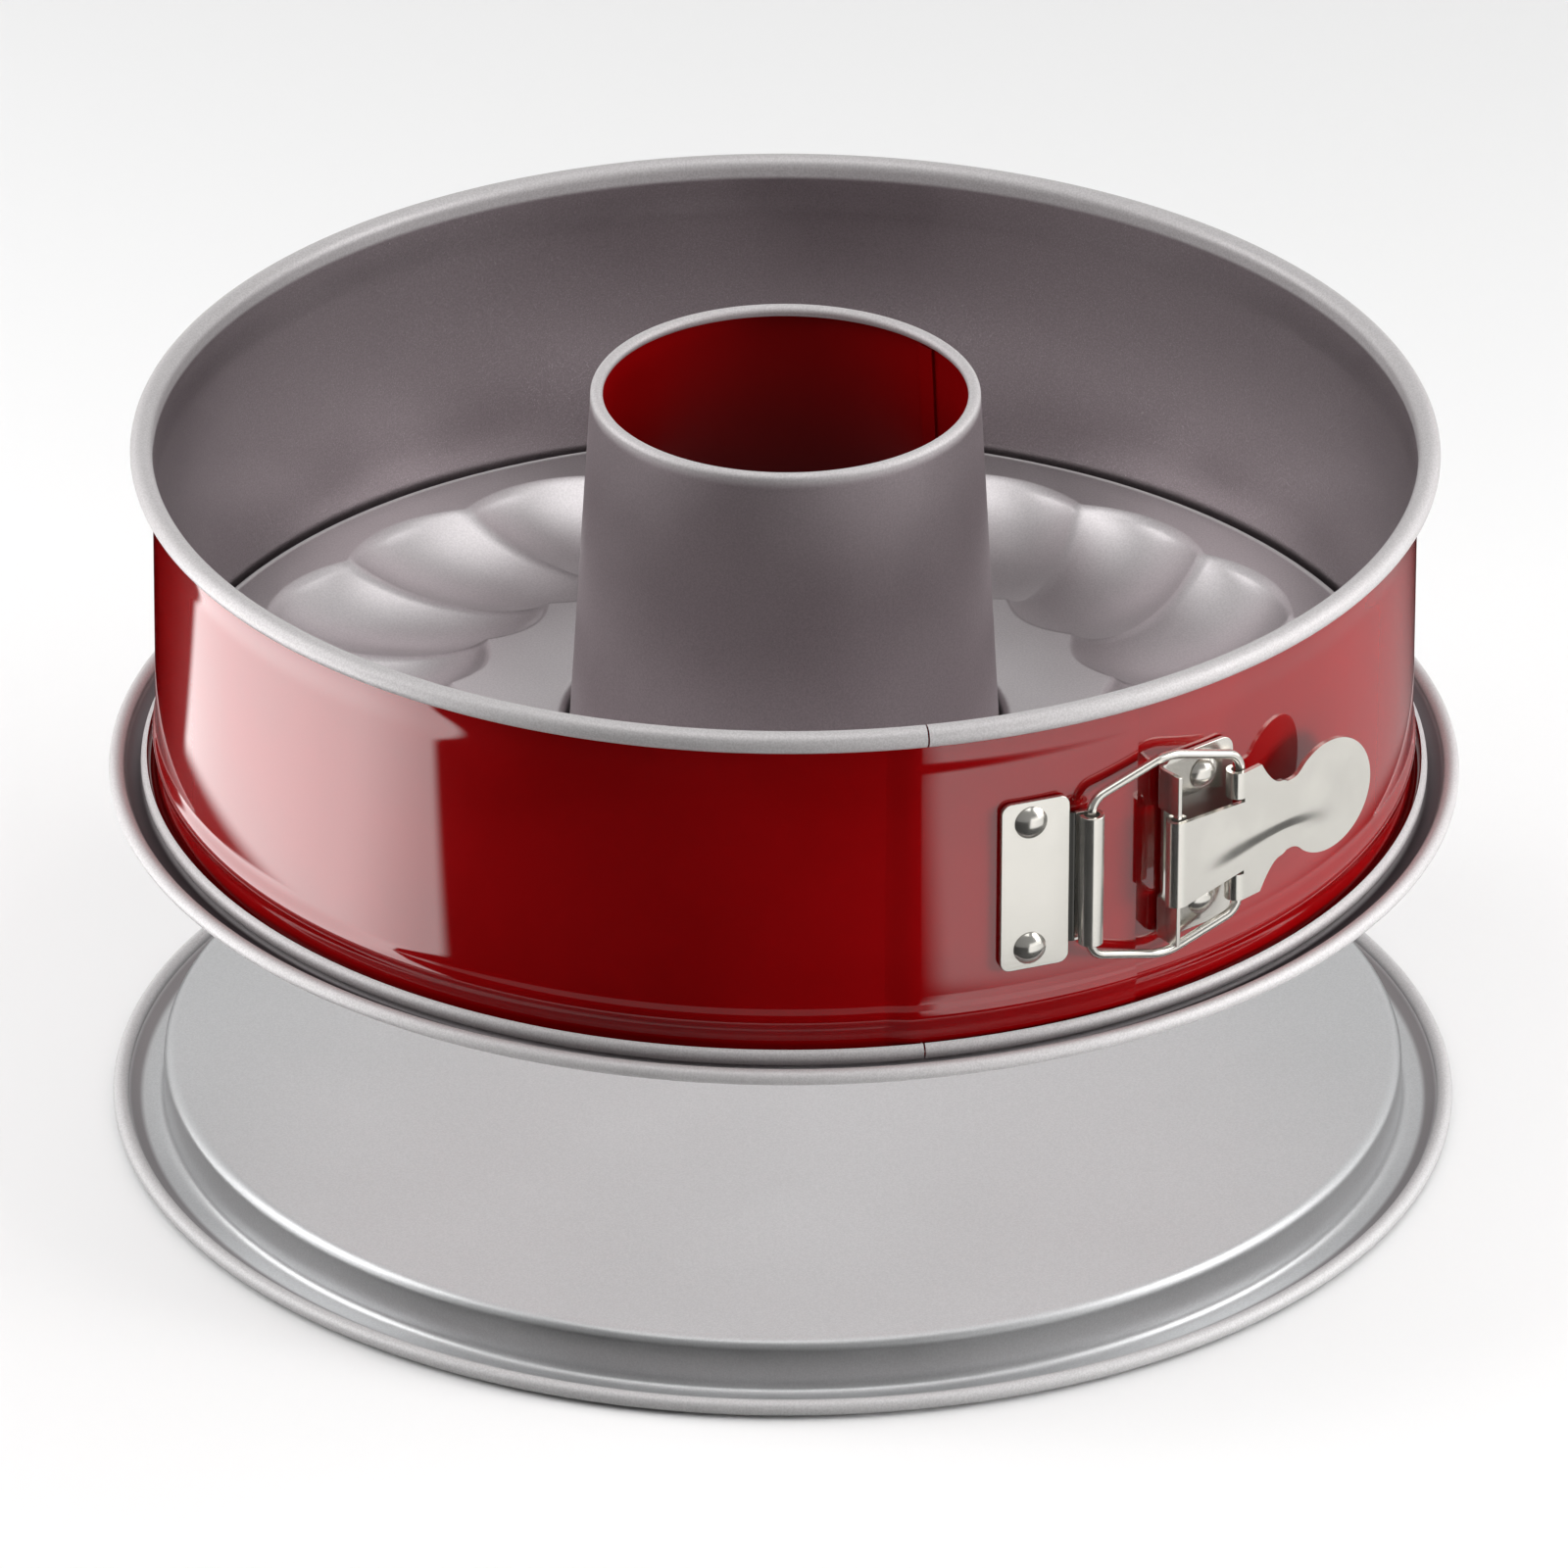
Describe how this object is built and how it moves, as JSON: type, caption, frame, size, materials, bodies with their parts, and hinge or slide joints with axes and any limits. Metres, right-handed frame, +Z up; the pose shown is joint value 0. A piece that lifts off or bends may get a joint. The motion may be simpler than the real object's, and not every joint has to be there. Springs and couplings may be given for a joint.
{
  "type": "savarin mould",
  "caption": "Round springform baking mould with a clasped ring wall, a fluted ring base with a chimney tube, and a plain flat base.",
  "frame": {"origin": "on the mould's axis, on the plane under the flat base's gutter", "axes": "+Z up along the mould's axis; -Y towards the viewer of the picture; the clasp is on the front right, between -Y and +X"},
  "size_m": [0.281, 0.281, 0.1646],
  "materials": {
    "wall_enamel": "glossy red enamel outside, satin grey non-stick coating inside and over the rolled rims",
    "base_coating": "satin pearl grey non-stick coating",
    "tube_coating": "satin pearl grey non-stick coating outside, red inside",
    "clasp_nickel": "polished nickel plate"
  },
  "bodies": {
    "flat_base": {"flat_base": "base_coating"},
    "savarin": {"savarin_base": "base_coating", "tube": "tube_coating"},
    "ring": {"ring_band": "wall_enamel", "hook_plate": "clasp_nickel", "hook_plate_rivet_upper": "clasp_nickel", "hook_plate_rivet_lower": "clasp_nickel", "lever_bracket": "clasp_nickel", "bracket_rivet_upper": "clasp_nickel", "bracket_rivet_lower": "clasp_nickel"},
    "lever": {"lever": "clasp_nickel"},
    "bail": {"bail": "clasp_nickel"}
  },
  "joints": [
    {"name": "mould_lift", "type": "slide", "parent": "flat_base", "child": "savarin", "axis": [0, 0, 1], "range_m": [0, 0.06]},
    {"name": "ring_lift", "type": "slide", "parent": "savarin", "child": "ring", "axis": [0, 0, 1], "range_m": [0, 0.095]},
    {"name": "lever_swing", "type": "hinge", "parent": "ring", "child": "lever", "pos_m": [0.07945, -0.11257, 0.1142], "axis": [0, 0, -1], "range_deg": [0, 115]},
    {"name": "bail_swing", "type": "hinge", "parent": "ring", "child": "bail", "pos_m": [0.06192, -0.11961, 0.1142], "axis": [0, 0, -1], "range_deg": [0, 57]}
  ],
  "couplings": [
    {"joint": "bail_swing", "follows": "lever_swing", "ratio": 0.495}
  ]
}
